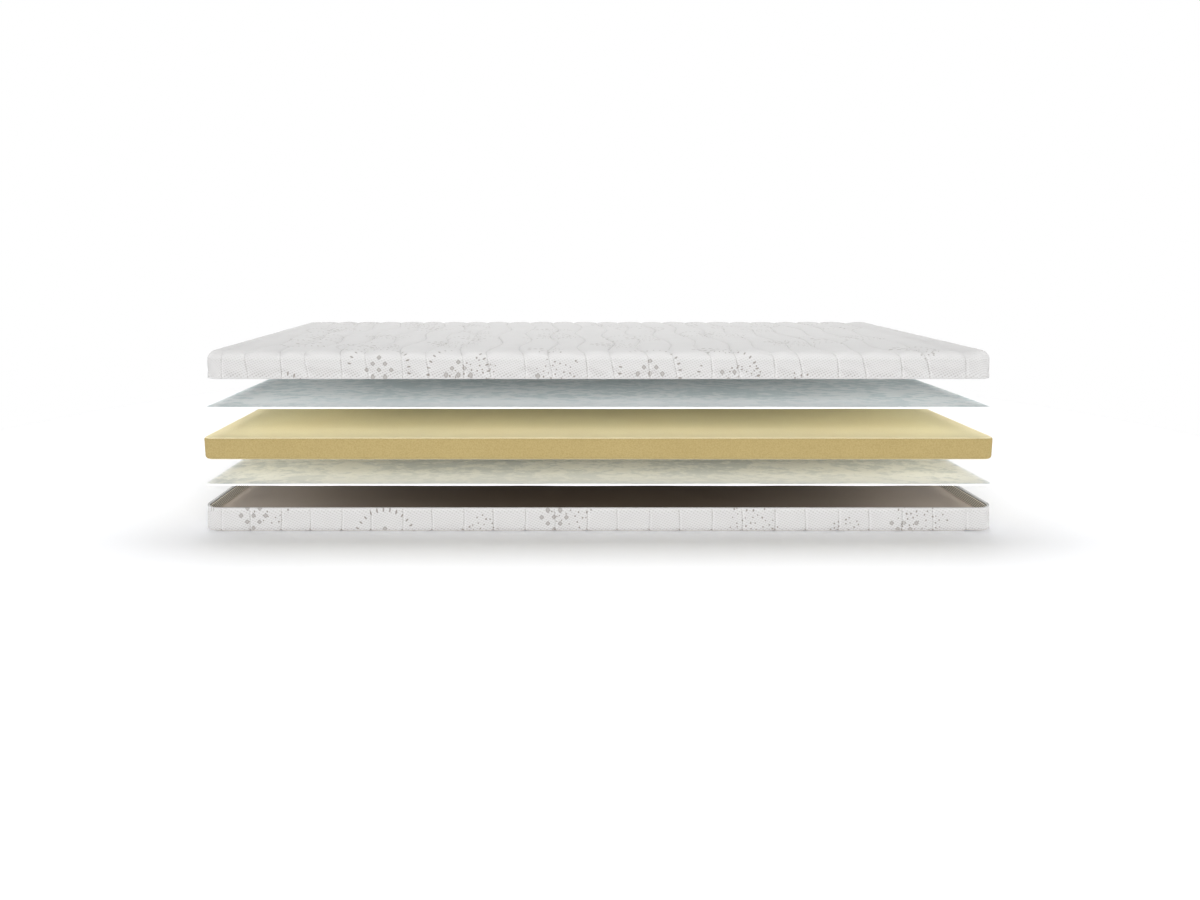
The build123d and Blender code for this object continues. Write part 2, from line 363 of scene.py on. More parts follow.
def quilt(name, cover, crests, leans, rows, end_seam, ceiling, print_shift, **relief):
    """A quilted padded panel with its walls: knit outside, wadding inside, sewn in channels."""
    seams, first_number = seam_lines(end_seam)
    lines = grid_lines(CORE_Y, cover.steps(), rows)
    t, s = np.meshgrid(lines, quilted_columns(seams, cover), indexing="ij")
    away, channel = seam_distance(s, seams)
    lift = quilt_relief(s, t, around_core(s, t, CORE)[0], away, channel, cover, **relief)
    moved = s + seam_wave(s, t, channel + first_number, crests, leans)
    outer = cover.wrap(moved, t, lift)
    outer[..., 2] = np.maximum(outer[..., 2], BOTTOM_LOW.z)  # flat where it rests on the floor
    inner = cover.beneath(moved, t, WALL - LINING, ceiling)
    loop = edge_loop(*s.shape)
    edge = moved.ravel()[loop], t.ravel()[loop]
    lip_end = cover.rim - cover.up * cover.lip * cover.hides_zip(edge[1])
    rings = [
        cover.edge_ring(*edge, LIP_DEPTH * 0.75, lip_end),
        cover.edge_ring(*edge, LIP_DEPTH, lip_end + cover.up * LIP_ROUND),
        cover.edge_ring(*edge, LIP_DEPTH, cover.hem_base),
    ]
    points, faces = closed_pair(outer, inner, *s.shape, rings)
    maps = []
    for values in (cover.cloth(moved, t) + print_shift, np.stack([channel, t], -1)):
        values = values.reshape(-1, 2)
        maps.append(np.concatenate([values, values] + [values[loop]] * len(rings)))
    obj = make_mesh(name, points, flipped(faces) if cover.up < 0 else faces, maps[0])
    add_uv(obj, "seam", maps[1])
    return obj


def lining(name, cover, ceiling, inner_face, seed):
    """The thin inside of a cover, with faint creases on its large face."""
    step = cover.steps(3, 4, 4)
    t, s = np.meshgrid(grid_lines(CORE_Y, step, 70), grid_lines(CORE_X, step, 150), indexing="ij")
    back = cover.beneath(s, t, WALL - LINING, ceiling)
    front = cover.beneath(s, t, WALL, inner_face)
    loose = smooth_step((cover.flat - around_core(s, t, CORE)[0]) / 0.02)
    crease = np.clip(0.5 + 0.5 * ripple(s, t, CREASE_SIZE, seed), 0, 1)
    fold = np.clip(ripple(s * 0.5, t, FOLD_SIZE, seed + 3), 0, 1) ** 3
    front[..., 2] += cover.up * loose * (CREASE_HEIGHT * crease + FOLD_HEIGHT * fold)
    points, faces = closed_pair(back, front, *s.shape)
    cloth = cover.cloth(s, t).reshape(-1, 2)
    faces = flipped(faces) if cover.up < 0 else faces
    return make_mesh(name, points, faces, np.concatenate([cloth, cloth]))


# ================================================================ bands round the rim
def run_length(points):
    """How far along a line of points each one lies."""
    return np.concatenate([[0], np.cumsum(np.linalg.norm(np.diff(points, axis=0), axis=1))])


def perimeter(inset, step=0.02, corner_steps=10):
    """Points round the cover's outline, moved in by inset, with outward normals and run length."""
    radius = CORNER - inset
    points, normals = [], []
    corners = [(CORE_X, -CORE_Y), (CORE_X, CORE_Y), (-CORE_X, CORE_Y), (-CORE_X, -CORE_Y)]
    for k, centre in enumerate(corners):
        for i in range(corner_steps + 1):
            angle = math.radians(90 * (k - 1) + 90 * i / corner_steps)
            normals.append((math.cos(angle), math.sin(angle)))
            points.append([c + radius * part for c, part in zip(centre, normals[-1])])
        last, normal = points[-1], normals[-1]
        following = [c + radius * part for c, part in zip(corners[(k + 1) % 4], normal)]
        count = max(int(math.dist(last, following) / step), 1)
        for i in range(1, count):
            points.append([a + (b - a) * (i / count) for a, b in zip(last, following)])
            normals.append(normal)
    return np.array(points), np.array(normals), run_length(np.array(points))


def sweep(outline, section, across):
    """Points of a section (out, height) swept along an outline, and their flat coordinates: the
    run along it, and across, a number for each point of the section."""
    points, normals, run = outline
    xy = points[:, None, :] + normals[:, None, :] * section[None, :, 0, None]
    height = np.broadcast_to(section[:, 1], xy.shape[:2])
    xyz = np.concatenate([xy, height[..., None]], -1).reshape(-1, 3)
    return xyz, np.stack(np.broadcast_arrays(run[:, None], across[None, :]), -1).reshape(-1, 2)


def band(name, inset, section):
    """A closed section (out, height) swept round the whole outline."""
    outline, section = perimeter(inset), np.array(section)
    xyz, uv = sweep(outline, section, run_length(section))
    return make_mesh(name, xyz, grid_faces(len(outline[0]), len(section), True, True), uv)


def repeated(name, outline, where, shape, sides, inside_out, smooth=True):
    """A small closed form at every place of an outline. Its shape is points (along, out, height),
    ring by ring."""
    points, normals, run = outline
    centre, normal = (
        np.stack([np.interp(where, run, values[:, k]) for k in (0, 1)], -1)
        for values in (points, normals)
    )
    normal /= np.linalg.norm(normal, axis=1, keepdims=True)
    along = np.stack([-normal[:, 1], normal[:, 0]], -1)
    verts = [
        np.column_stack([centre + along * forward + normal * out, np.full(len(where), height)])
        for forward, out, height in shape
    ]
    count = len(shape)
    one = grid_faces(count // sides, sides, False, True)
    one += [list(range(sides))[::-1], list(range(count - sides, count))]
    one = flipped(one) if inside_out else one
    faces = [[k + i * count for k in face] for i in range(len(where)) for face in one]
    return make_mesh(name, np.stack(verts, 1).reshape(-1, 3), faces, smooth=smooth)


def ribbed_section(depth, low, high, ribs, rib_height, steps=6):
    """The wall band's section: a flat back, round ribs inside, and a top leaning over the hem."""
    section = [(0.0, low), (0.0, high - HEM_SLOPE), (HEM_SLOPE, high)]
    count = ribs * steps
    for i in range(count + 1):
        z = high - (high - low) * i / count
        swell = abs(math.sin(math.pi * i / steps)) ** 0.7
        over = max(z - (high - HEM_SLOPE), 0)
        section.append((over - depth + rib_height * (1 - swell), z))
    return section


def hem_section(rim, up):
    """A hem's section, from behind the quilt's edge to the lining, sloped off on the inside."""
    base = rim + up * HEM_HEIGHT
    out, slope, bevel = -LIP_DEPTH - 0.0002, HEM_SLOPE, 0.0004
    return [
        (out, base),
        (out, rim + up * bevel),
        (out - bevel, rim),
        (slope - WALL + bevel, rim),
        (slope - WALL, rim + up * bevel),
        (-WALL, rim + up * slope),
        (-WALL, base),
    ]


def stitches(name, inset, height, pitch, length, radius, sides=5):
    """A run of small thread stitches round the outline, half sunk in the cloth. Each is made of
    rings, given as their place along it and their share of its radius."""
    points, normals, run = perimeter(inset, 0.01)
    total = run[-1] + np.linalg.norm(points[0] - points[-1])
    closed = np.vstack([points, points[:1]]), np.vstack([normals, normals[:1]]), [*run, total]
    shape = []
    for place, fatness in ((-0.5, 0.25), (-0.32, 1.0), (0.32, 1.0), (0.5, 0.25)):
        for k in range(sides):
            angle, thick = 2 * math.pi * k / sides, radius * fatness
            out, rise = thick * math.cos(angle), thick * math.sin(angle)
            shape.append((place * length, out, height + rise))
    return repeated(name, closed, np.arange(0, total - pitch, pitch), shape, sides, True)


# ================================================================ materials
def operator(operation, swapped=False):
    """A method for Value that adds a maths node."""

    def method(value, other=0.0):
        pair = (other, value) if swapped else (value, other)
        return value.nodes.math(operation, *pair)

    return method


class Value:
    """An output of a node. Arithmetic on it adds the nodes that work it out."""

    def __init__(self, nodes, socket):
        self.nodes, self.socket = nodes, socket

    __add__, __radd__ = operator("ADD"), operator("ADD", swapped=True)
    __sub__, __rsub__ = operator("SUBTRACT"), operator("SUBTRACT", swapped=True)
    __mul__, __truediv__, __pow__ = operator("MULTIPLY"), operator("DIVIDE"), operator("POWER")
    __lt__, __gt__ = operator("LESS_THAN"), operator("GREATER_THAN")
    __abs__, __round__, fraction = operator("ABSOLUTE"), operator("ROUND"), operator("FRACT")
    sine, cosine, root = operator("SINE"), operator("COSINE"), operator("SQRT")

    def ramp(self, low, high):
        """0 below low, 1 above high, smooth between."""
        limits = {"Value": self, "From Min": low, "From Max": high}
        return self.nodes.add("ShaderNodeMapRange", limits, interpolation_type="SMOOTHSTEP")

    def wave(self):
        """0 to 1 and back with every whole turn."""
        swing = (self * (2 * math.pi)).cosine() + 1.0
        return self.nodes.math("MULTIPLY", swing, 0.5, clamp=True)

    def weave(self, pitch):
        """-1 to 1 and back with every pitch."""
        return (self * (2 * math.pi / pitch)).sine()


def hypotenuse(x, y):
    return (x**2.0 + y**2.0).root()


class Nodes:
    """Short names for building one material's node tree."""

    def __init__(self, name):
        self.material = bpy.data.materials.new(name)
        self.material.use_nodes = True
        self.tree = self.material.node_tree
        self.shader = self.tree.nodes["Principled BSDF"]

    def put(self, value, socket):
        """A number, vector or colour, or the output of another node."""
        if isinstance(value, Value):
            self.tree.links.new(value.socket, socket)
        else:
            socket.default_value = (*value, 1.0) if socket.type == "RGBA" else value

    def add(self, kind, inputs, *outputs, **settings):
        """A new node with its inputs. Gives its first output, or a list of the ones named."""
        made = self.tree.nodes.new(kind)
        for key, value in settings.items():
            setattr(made, key, value)
        for name, value in inputs.items():
            self.put(value, made.inputs[name])
        values = [Value(self, made.outputs[name]) for name in outputs or (0,)]
        return values if outputs else values[0]

    def math(self, operation, first, second=0.0, clamp=False):
        inputs = {0: first, 1: second}
        return self.add("ShaderNodeMath", inputs, operation=operation, use_clamp=clamp)

    def vector(self, operation, first, second):
        return self.add("ShaderNodeVectorMath", {0: first, 1: second}, operation=operation)

    def mix(self, factor, first, second):
        """The first colour where the factor is 0, the second where it is 1."""
        inputs = {"Factor": factor, 6: first, 7: second}
        return self.add("ShaderNodeMix", inputs, 2, data_type="RGBA")[0]

    def parts(self, vector, kind="XYZ"):
        """The three numbers of a vector, or with kind Color of a colour."""
        return self.add(f"ShaderNodeSeparate{kind}", {0: vector}, 0, 1, 2)

    def cloth(self, name="cloth"):
        """One of the mesh's flat coordinate maps, as a vector and its two parts."""
        flat = self.add("ShaderNodeUVMap", {}, uv_map=name)
        return flat, *self.parts(flat)[:2]

    def place(self, output="Object"):
        """Position on the object, which doesn't move with its body, and its three parts."""
        vector = self.add("ShaderNodeTexCoord", {}, output)[0]
        return vector, *self.parts(vector)

    def facing(self):
        """How much the surface faces up or down: the object-space normal's third part."""
        return self.place("Normal")[3]

    def mapped(self, vector, **placing):
        """A vector moved, turned or scaled."""
        return self.add("ShaderNodeMapping", {"Vector": vector, **placing})

    def noise(self, vector, scale, detail=3.0, roughness=0.5):
        inputs = {"Vector": vector, "Scale": scale, "Detail": detail, "Roughness": roughness}
        return self.add("ShaderNodeTexNoise", inputs)

    def cells(self, vector, pitch, jitter):
        """Scattered points: the distance to the nearest one, its place and its random colour."""
        inputs = {"Vector": vector, "Scale": 1 / pitch, "Randomness": jitter}
        outputs = ("Distance", "Position", "Color")
        return self.add("ShaderNodeTexVoronoi", inputs, *outputs, voronoi_dimensions="2D")

    def bump(self, height, distance, strength, **under):
        inputs = {"Height": height, "Distance": distance, "Strength": strength}
        return self.add("ShaderNodeBump", {**inputs, **under})

    def finish(self, colour, roughness, normal=None, sheen=0.0, specular=0.5, metallic=0.0):
        inputs = {"Base Color": colour, "Roughness": roughness, "Sheen Weight": sheen}
        inputs |= {"Specular IOR Level": specular, "Metallic": metallic}
        if normal is not None:
            inputs["Normal"] = normal
        for name, value in inputs.items():
            self.put(value, self.shader.inputs[name])
        return self.material


def knit_material():
    """White piqué knit with woven motifs: rings of beads, fields of dots and lozenges."""
    n = Nodes("quilted_knit")
    cloth, u, v = n.cloth()
    pit = (u / 0.0152 - v / 0.0061).wave() ** 1.4 * (u / 0.0081 + v / 0.0090).wave() ** 0.8
    normal = n.bump(1.0 - pit, distance=0.0006, strength=0.8)

    # the cloth's motifs: each has a middle and three chance numbers
    _, centre, chance = n.cells(cloth, pitch=0.235, jitter=0.8)
    offset = n.vector("SUBTRACT", cloth, centre)
    x, y, _ = n.parts(offset)
    kind, size, extra = n.parts(chance, "Color")

    # arcs of a ring of beads
    radius, beads = 0.076, 29
    turns = n.math("ARCTAN2", y, x) * (beads / (2 * math.pi))
    along = ((turns + 100.0).fraction() - 0.5) * (2 * math.pi * radius / beads)
    bead = hypotenuse(along, (hypotenuse(x, y) - radius) * 0.45)
    arc = n.noise(cloth, scale=5.5, detail=0.0).ramp(0.40, 0.42)
    ring = bead.ramp(0.0026, 0.0016) * (kind > 0.44) * arc

    # a field of whole dots beside the lozenges, with a layout of its own
    turned = n.mapped(offset, Rotation=(0, 0, 0.35), Location=(-0.052, 0.012, 0))
    own = n.vector("ADD", turned, chance)
    scatter, middle, sort = n.cells(own, pitch=0.0150, jitter=0.72)
    dot_size = 0.105 + n.parts(sort, "Color")[0] * 0.060
    edge = 0.010 + size * 0.036 + n.noise(middle, scale=22.0, detail=1.0) * 0.058
    across, back, _ = n.parts(middle)
    field = (hypotenuse(across - kind, back - size) < edge) * (kind < 0.62)
    dots = (scatter - dot_size).ramp(0.03, -0.03) * field

    # a few whole lozenges near the middle, on a lattice turned by 45 degrees
    pitch, power = 0.0310, 5.0
    p, q = (x + y) / pitch, (x - y) / pitch
    p_middle, q_middle = round(p), round(q)
    lozenge = (abs(p - p_middle) ** power + abs(q - q_middle) ** power) ** (1 / power)
    far = p_middle**2.0 + q_middle**2.0
    chosen = far * (0.3 + extra) < 1.25
    whole = lozenge.ramp(0.235, 0.205) * chosen
    heart = lozenge.ramp(0.14, 0.10) * chosen

    # where the cloth is: on a wall, turned down, or on the rounded edge, with a painted highlight
    # on the rounded edge and painted shade where it turns down
    level = abs(n.facing())
    wall = 1.0 - level.ramp(0.04, 0.55)
    under = (n.facing() * -1.0).ramp(0.02, 0.12)
    painted_shoulder_highlight = level.ramp(0.03, 0.30) * level.ramp(0.95, 0.60)
    shade = n.noise(cloth, scale=14.0, detail=4.0, roughness=0.6)
    white = n.mix(shade, (0.551, 0.545, 0.541), (0.589, 0.585, 0.580))
    # painted highlight: paler on the rounded edge between the large face and the walls
    white = n.mix(painted_shoulder_highlight * 0.16, white, (0.90, 0.89, 0.885))
    # painted shade: darker where the surface turns down, low on the swelling walls
    white = n.mix(under * 0.10, white, (0.10, 0.095, 0.09))
    # painted shade in the knit's pits: faint on the large face, stronger on the walls, strongest
    # where the walls turn down
    painted_pit_shade = 0.12 + wall * 0.37 + under * (wall * 0.48)
    colour = n.mix(pit * painted_pit_shade, white, (0.30, 0.28, 0.27))
    dots = n.math("MAXIMUM", dots, ring) * (1.0 - whole)
    shown = 0.80 + wall * 0.20
    colour = n.mix(dots * shown, colour, (0.26, 0.24, 0.22))
    colour = n.mix(whole * (shown * 0.92), colour, (0.29, 0.275, 0.26))
    colour = n.mix(heart * 0.35, colour, (0.50, 0.48, 0.46))

    # the seams' stitches: dark needle holes with painted shade along the seam's groove, stronger on
    # the walls, and a painted highlight, a pale strip on one side of each seam
    _, channel, along_seam = n.cloth("seam")
    past_seam = (channel - round(channel)) * SEAM_PITCH
    hole = (along_seam / 0.0046).fraction() < 0.5
    patchy = n.noise(cloth, scale=21.0, detail=1.0).ramp(0.36, 0.62)
    seam_holes_and_shade = abs(past_seam).ramp(0.0014, 0.0005) * (0.13 + hole * 0.55)
    seam_holes_and_shade = seam_holes_and_shade * (0.35 + patchy * 0.65) * (0.45 + wall * 0.55)
    colour = n.mix(seam_holes_and_shade, colour, (0.22, 0.20, 0.18))
    # painted highlight: a pale strip on one side of each seam, on the walls only
    beside = abs(past_seam - 0.0042).ramp(0.0026, 0.0008)
    colour = n.mix(beside * (wall * 0.20), colour, (0.76, 0.755, 0.75))

    # the seam round the tray's foot, and a tack where each of the other seams meets it
    height = n.place()[3]
    foot_line, tack_low, tack_high = (BOTTOM_LOW.z + rise for rise in (0.0030, 0.0048, 0.0075))
    upright = level.ramp(0.85, 0.60)
    foot = abs(height - foot_line).ramp(0.0020, 0.0009)
    foot = foot * upright * (0.30 + shade * 0.4)
    tack = abs(past_seam).ramp(0.0034, 0.0012)
    tack = tack * height.ramp(tack_high, tack_low) * (upright * 0.62)
    colour = n.mix(foot, colour, (0.38, 0.31, 0.24))
    colour = n.mix(tack, colour, (0.20, 0.17, 0.14))
    return n.finish(colour, 0.88, normal, sheen=0.15, specular=0.25)


def felt_material(name, light, dark, seed):
    """Needled felt: clouds and flecks of lighter and darker fibre, with painted light that makes it
    paler along its long edges, and plain white where it is cut."""
    n = Nodes(name)
    place, x, y, _ = n.place()
    shifted = n.mapped(place, Location=(seed, seed * 0.7, 0), Scale=(1.0, 1.25, 1.0))
    fleck = n.noise(shifted, scale=30.0, detail=4.0, roughness=0.62)
    cloud = n.noise(shifted, scale=5.0, detail=2.0)
    combed = n.mapped(place, Scale=(1.0, 1.7, 1.0))
    fibre = n.noise(combed, scale=420.0, detail=3.0, roughness=0.7)
    colour = n.mix((fleck * 0.65 + cloud * 0.35).ramp(0.43, 0.57), dark, light)
    colour = n.mix(fibre.ramp(0.35, 0.7) * 0.12, colour, (0.95, 0.95, 0.95))
    # painted light: paler near the front and back edges, where light reaches in between the layers,
    # fading out towards the ends
    painted_light_margin = abs(y).ramp(0.28, 0.43) * 0.60 * abs(x).ramp(0.98, 0.62)
    colour = n.mix(painted_light_margin, colour, (0.95, 0.98, 1.0))
    colour = n.mix(abs(n.facing()).ramp(0.5, 0.85), (0.93, 0.93, 0.925), colour)
    normal = n.bump(fibre, distance=0.0006, strength=0.7)
    normal = n.bump(fleck, distance=0.0020, strength=0.4, Normal=normal)
    return n.finish(colour, 0.95, normal, sheen=0.1, specular=0.05)


def foam_material():
    """Memory foam: fewer pores on the faces above and below, and open cells on the cut sides. The
    faces are painted far paler than the sides, painted light on the faces and painted shade on the
    sides.
    """
    n = Nodes("memory_foam")
    place = n.place()[0]
    facing = n.facing()
    skin = facing.ramp(0.50, 0.97) + (facing * -1.0).ramp(0.60, 0.99)
    cells = n.add("ShaderNodeTexVoronoi", {"Vector": place, "Scale": 330.0})
    grain = n.noise(place, scale=230.0, detail=3.0, roughness=0.6)
    cloud = n.noise(place, scale=7.0, detail=3.0)
    # painted light and shade: the upper and lower faces (smooth) are painted far paler than the
    # sides (cut), which stand in shade
    cut = n.mix(cloud, (0.378, 0.291, 0.128), (0.415, 0.326, 0.150))
    smooth = n.mix(cloud, (0.98, 0.85, 0.555), (1.0, 0.905, 0.615))
    pores = (cells * 0.5 + grain).ramp(0.55, 1.0) * (0.34 - skin * 0.31)
    colour = n.mix(pores, n.mix(skin, cut, smooth), (0.25, 0.185, 0.065))
    normal = n.bump(grain + cells, distance=0.0004, strength=0.8)
    return n.finish(colour, 0.92, normal, specular=0.05)


def satin_material():
    """Dark brown lining with a soft shine and a fine weave, with a painted sheen that makes it
    paler towards its two ends.
    """
    n = Nodes("satin_lining")
    cloth, u, v = n.cloth()
    cloud = n.noise(cloth, scale=5.0, detail=3.0)
    # painted sheen: paler towards both ends of the lining
    end = n.math("POWER", abs(u) / HALF_X, 3.0, clamp=True)
    brown = n.mix(cloud, (0.146, 0.106, 0.072), (0.182, 0.138, 0.099))
    colour = n.mix(end, brown, (0.71, 0.62, 0.53))
    weave = u.weave(pitch=0.0011) * v.weave(pitch=0.0016)
    normal = n.bump(weave, distance=0.00015, strength=0.5)
    return n.finish(colour, 0.55 + cloud * 0.12, normal, specular=0.12)


def backing_material():
    """Pale spun cloth behind the top cover's wadding, pressed in small points."""
    n = Nodes("quilt_backing")
    cloth = n.cloth()[0]
    pressed = n.cells(cloth, pitch=0.0036, jitter=0.1)[0].ramp(0.30, 0.12)
    combed = n.mapped(cloth, Scale=(1.0, 2.2, 1.0))
    fibre = n.noise(combed, scale=260.0, detail=3.0, roughness=0.7)
    cloud = n.noise(cloth, scale=16.0, detail=3.0)
    colour = n.mix(cloud, (0.80, 0.79, 0.765), (0.88, 0.875, 0.855))
    colour = n.mix(fibre * 0.22, colour, (0.62, 0.61, 0.59))
    colour = n.mix(pressed * 0.30, colour, (0.60, 0.59, 0.57))
    normal = n.bump(fibre - pressed, distance=0.0003, strength=0.7)
    return n.finish(colour, 0.9, normal, sheen=0.1, specular=0.1)


def band_material():
    """Ribbed knit band, taupe, with a painted highlight on its ribs and painted shade in the
    grooves between them.
    """
    n = Nodes("ribbed_band")
    place, _, _, height = n.place()
    loops = n.cloth()[1].weave(pitch=0.0050)
    row = (height - BAND_LOW.z) / RIB_PITCH
    # painted highlight and shade: pale on the ribs' crowns, dark in the grooves between them
    crown = abs(row.fraction() - 0.5).ramp(0.36, 0.10)
    fleck = n.noise(place, scale=260.0, detail=2.0, roughness=0.6)
    tone = n.math("MULTIPLY", crown, loops * 0.10 + fleck * 0.22 + 0.86, clamp=True)
    colour = n.mix(tone, (0.175, 0.155, 0.120), (0.98, 0.91, 0.775))
    normal = n.bump(loops, distance=0.0004, strength=0.8)
    return n.finish(colour, 0.9, normal, sheen=0.1, specular=0.1)


def woven_material(name, colour, dark, pitch, depth):
    """A plain woven tape or hem."""
    n = Nodes(name)
    _, u, v = n.cloth()
    weave = (u + v).weave(pitch) * (u - v).weave(pitch)
    shade = n.mix(weave.ramp(0.2, -0.9) * 0.35, colour, dark)
    normal = n.bump(weave, depth, strength=0.7)
    return n.finish(shade, 0.85, normal, sheen=0.15, specular=0.25)


def thread_material():
    """Polyester thread, off-white with a slight shine."""
    n = Nodes("thread")
    twist = n.noise(n.mapped(n.place()[0], Scale=(1.0, 1.0, 2.5)), scale=900.0, detail=2.0)
    colour = n.mix(twist, (0.48, 0.46, 0.43), (0.70, 0.68, 0.65))
    normal = n.bump(twist, distance=0.0002, strength=0.6)
    return n.finish(colour, 0.55, normal, sheen=0.1, specular=0.4)


def hard_material(name, first, second, roughness, metallic):
    """Moulded or painted small parts, slightly mottled."""
    n = Nodes(name)
    speck = n.noise(n.place()[0], scale=700.0, detail=3.0, roughness=0.6)
    colour = n.mix(speck, first, second)
    rough = (roughness - 0.06) + speck * 0.12
    normal = n.bump(speck, distance=0.00005, strength=0.4)
    return n.finish(colour, rough, normal, metallic=metallic)


KNIT = knit_material()
UPPER_FELT = felt_material("upper_felt", (0.95, 0.995, 0.995), (0.73, 0.82, 0.83), 1.7)
LOWER_FELT = felt_material("lower_felt", (0.94, 0.975, 1.0), (0.71, 0.765, 0.82), 4.1)
FOAM = foam_material()
SATIN = satin_material()
BACKING = backing_material()
RIB = band_material()
HEM = woven_material(
    "hem", (0.86, 0.855, 0.845), (0.60, 0.59, 0.57), pitch=0.0016, depth=0.0003
)
TAPE = woven_material(
    "zip_tape", (0.80, 0.795, 0.78), (0.52, 0.51, 0.49), pitch=0.0010, depth=0.0002
)
THREAD = thread_material()
COIL = hard_material("zip_coil", (0.78, 0.78, 0.765), (0.86, 0.86, 0.85), 0.42, 0.0)
METAL = hard_material("zip_metal", (0.66, 0.66, 0.65), (0.76, 0.76, 0.75), 0.32, 0.7)


def dress(piece, material, body):
    """Gives a new piece its material and its body."""
    piece.data.materials.clear()
    piece.data.materials.append(material)
    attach(piece, body)


# ================================================================ top cover
top_form = Cover(TOP_HIGH.z, TOP_HEM_LOW.z, 0.022, TOP_HEM_LOW.z - TOP_CHAIN_LOW.z)
top_quilt = quilt(
    "top_quilt",
    top_form,
    crests=(0.120, 0.035),
    leans=(-0.003, 0.002),
    depths=(0.0050, 0.0058, 0.0026),
    crest=0.0007,
    bulge=0.0020,
    rows=120,
    end_seam=CORE_X + 0.085,
    ceiling=TOP_LINING_HIGH.z,
    foot=0.0,
    print_shift=(0.0, -0.055),
    seed=21,
)
dress(top_quilt, KNIT, "top_cover")
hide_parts("top_outer_fabric", "top_wadding")

top_lining = lining("top_lining_cloth", top_form, TOP_LINING_HIGH.z, TOP_LINING_HIGH.z - LINING, 5)
dress(top_lining, BACKING, "top_cover")
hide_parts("top_lining")

# ================================================================ bottom cover
bottom_lip = BOTTOM_CHAIN_HIGH.z - BOTTOM_HEM_HIGH.z
bottom_form = Cover(BOTTOM_LOW.z, BOTTOM_HEM_HIGH.z, 0.005, bottom_lip)
bottom_quilt = quilt(
    "bottom_quilt",
    bottom_form,
    crests=(0.140, 0.1275),
    leans=(-0.0041, -0.0086),
    depths=(0.0020, 0.0026, 0.0022),
    crest=0.0,
    bulge=0.0014,
    rows=100,
    end_seam=CORE_X + 0.068,
    ceiling=BOTTOM_LINING_LOW.z,
    foot=0.0014,
    print_shift=(3.71, 1.975),
    seed=31,
)
dress(bottom_quilt, KNIT, "bottom_cover")
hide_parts("bottom_outer_fabric", "bottom_wadding")

ceiling = BOTTOM_LINING_LOW.z
bottom_lining = lining("bottom_lining_cloth", bottom_form, ceiling, ceiling + LINING, 8)
dress(bottom_lining, SATIN, "bottom_cover")
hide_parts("bottom_lining")

band_high = BAND_LOW.z + RIBS * RIB_PITCH
section = ribbed_section(BAND_DEPTH, BAND_LOW.z, band_high, RIBS, RIB_HEIGHT)
inner_band = band("inner_ribbed_band", WALL, section[::-1])
dress(inner_band, RIB, "bottom_cover")
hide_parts("bottom_inner_band")

# ================================================================ hems and their stitching
for side, rim, up in (("bottom", BOTTOM_HEM_HIGH.z, -1), ("top", TOP_HEM_LOW.z, 1)):
    section = hem_section(rim, up)
    hem = band(f"{side}_hem", 0.0, section if up > 0 else section[::-1])
    dress(hem, HEM, f"{side}_cover")
    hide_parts(f"{side}_rim_binding")
    thread = stitches(
        f"{side}_hem_stitches",
        inset=0.0004,
        height=rim + up * 0.0010,
        pitch=0.0052,
        length=0.0034,
        radius=0.00045,
    )
    dress(thread, THREAD, f"{side}_cover")


# ================================================================ layers
def layer_points(half_x, half_y, radius, edge, spacing=0.02):
    """A grid over a rectangle with rounded plan corners: x, y and the distance in from the outline.
    It is closer together over the width of the edge's rounding."""
    core = half_x - radius, half_y - radius
    bend = edge * (1 - np.sin(np.linspace(0, math.pi / 2, 6)))
    turn = np.concatenate([np.linspace(0, radius - edge, 4)[1:-1], radius - bend])
    columns, rows = (grid_lines(half, turn, int(2 * half / spacing)) for half in core)
    t, s = np.meshgrid(rows, columns, indexing="ij")
    d, at = around_core(s, t, core)
    return *at(d), radius - d


def slab(name, half_x, low, high, corner, edges, hollow, lean=0.0):
    """A closed slab with rounded upper and lower edges. Its faces sink in shallow hollows, given
    as depth, size and seed, and its ends come in by lean towards the bottom."""
    px, py, inward = layer_points(half_x, LAYER_Y, corner, max(edges))
    depth, size, seed = hollow
    relief = depth * np.clip(0.5 + 0.5 * ripple(px, py, size, seed), 0, 1)
    sinks = []
    for edge in edges:
        level = edge - np.clip(inward, 0, edge)
        sinks.append(edge - np.sqrt(np.maximum(edge**2 - level**2, 0)) + relief)
    top = np.stack([px, py, high.z - sinks[0]], -1)
    under = np.stack([px * (1 - lean / half_x), py, low.z + sinks[1]], -1)
    points, faces = closed_pair(top, under, *px.shape)
    flat = np.stack([px, py], -1).reshape(-1, 2)
    return make_mesh(name, points, faces, np.concatenate([flat, flat]))


LAYER_Y = FOAM_HIGH.y
SHEET_X = HALF_X - 0.004
SHEET_CORNER = 0.014
SHEET_EDGES = (0.0018, 0.0018)
FOAM_X = HALF_X + 0.006
FOAM_CORNER = 0.024

felts = {}
for side, material, rest, seed in (
    ("upper", UPPER_FELT, "foam_block", 41),
    ("lower", LOWER_FELT, "bottom_lining_cloth", 43),
):
    low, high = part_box(f"{side}_felt_sheet")
    hollow = 0.0007, 0.25, seed
    felt = slab(f"{side}_felt", SHEET_X, low, high, SHEET_CORNER, SHEET_EDGES, hollow)
    dress(felt, material, f"{side}_sheet")
    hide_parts(f"{side}_felt_sheet")
    felts[side] = felt

edges, hollow = (0.006, 0.010), (0.0006, 0.5, 47)
foam = slab("foam_block", FOAM_X, FOAM_LOW, FOAM_HIGH, FOAM_CORNER, edges, hollow, lean=0.003)
dress(foam, FOAM, "foam")
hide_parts("foam_core")


for layer, joint, half_x, corner in (
    (felts["lower"], "lower_sheet_lift", SHEET_X, SHEET_CORNER),
    (foam, "foam_lift", FOAM_X, FOAM_CORNER),
    (felts["upper"], "top_cover_lift", SHEET_X, SHEET_CORNER),
):
    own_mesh(layer)

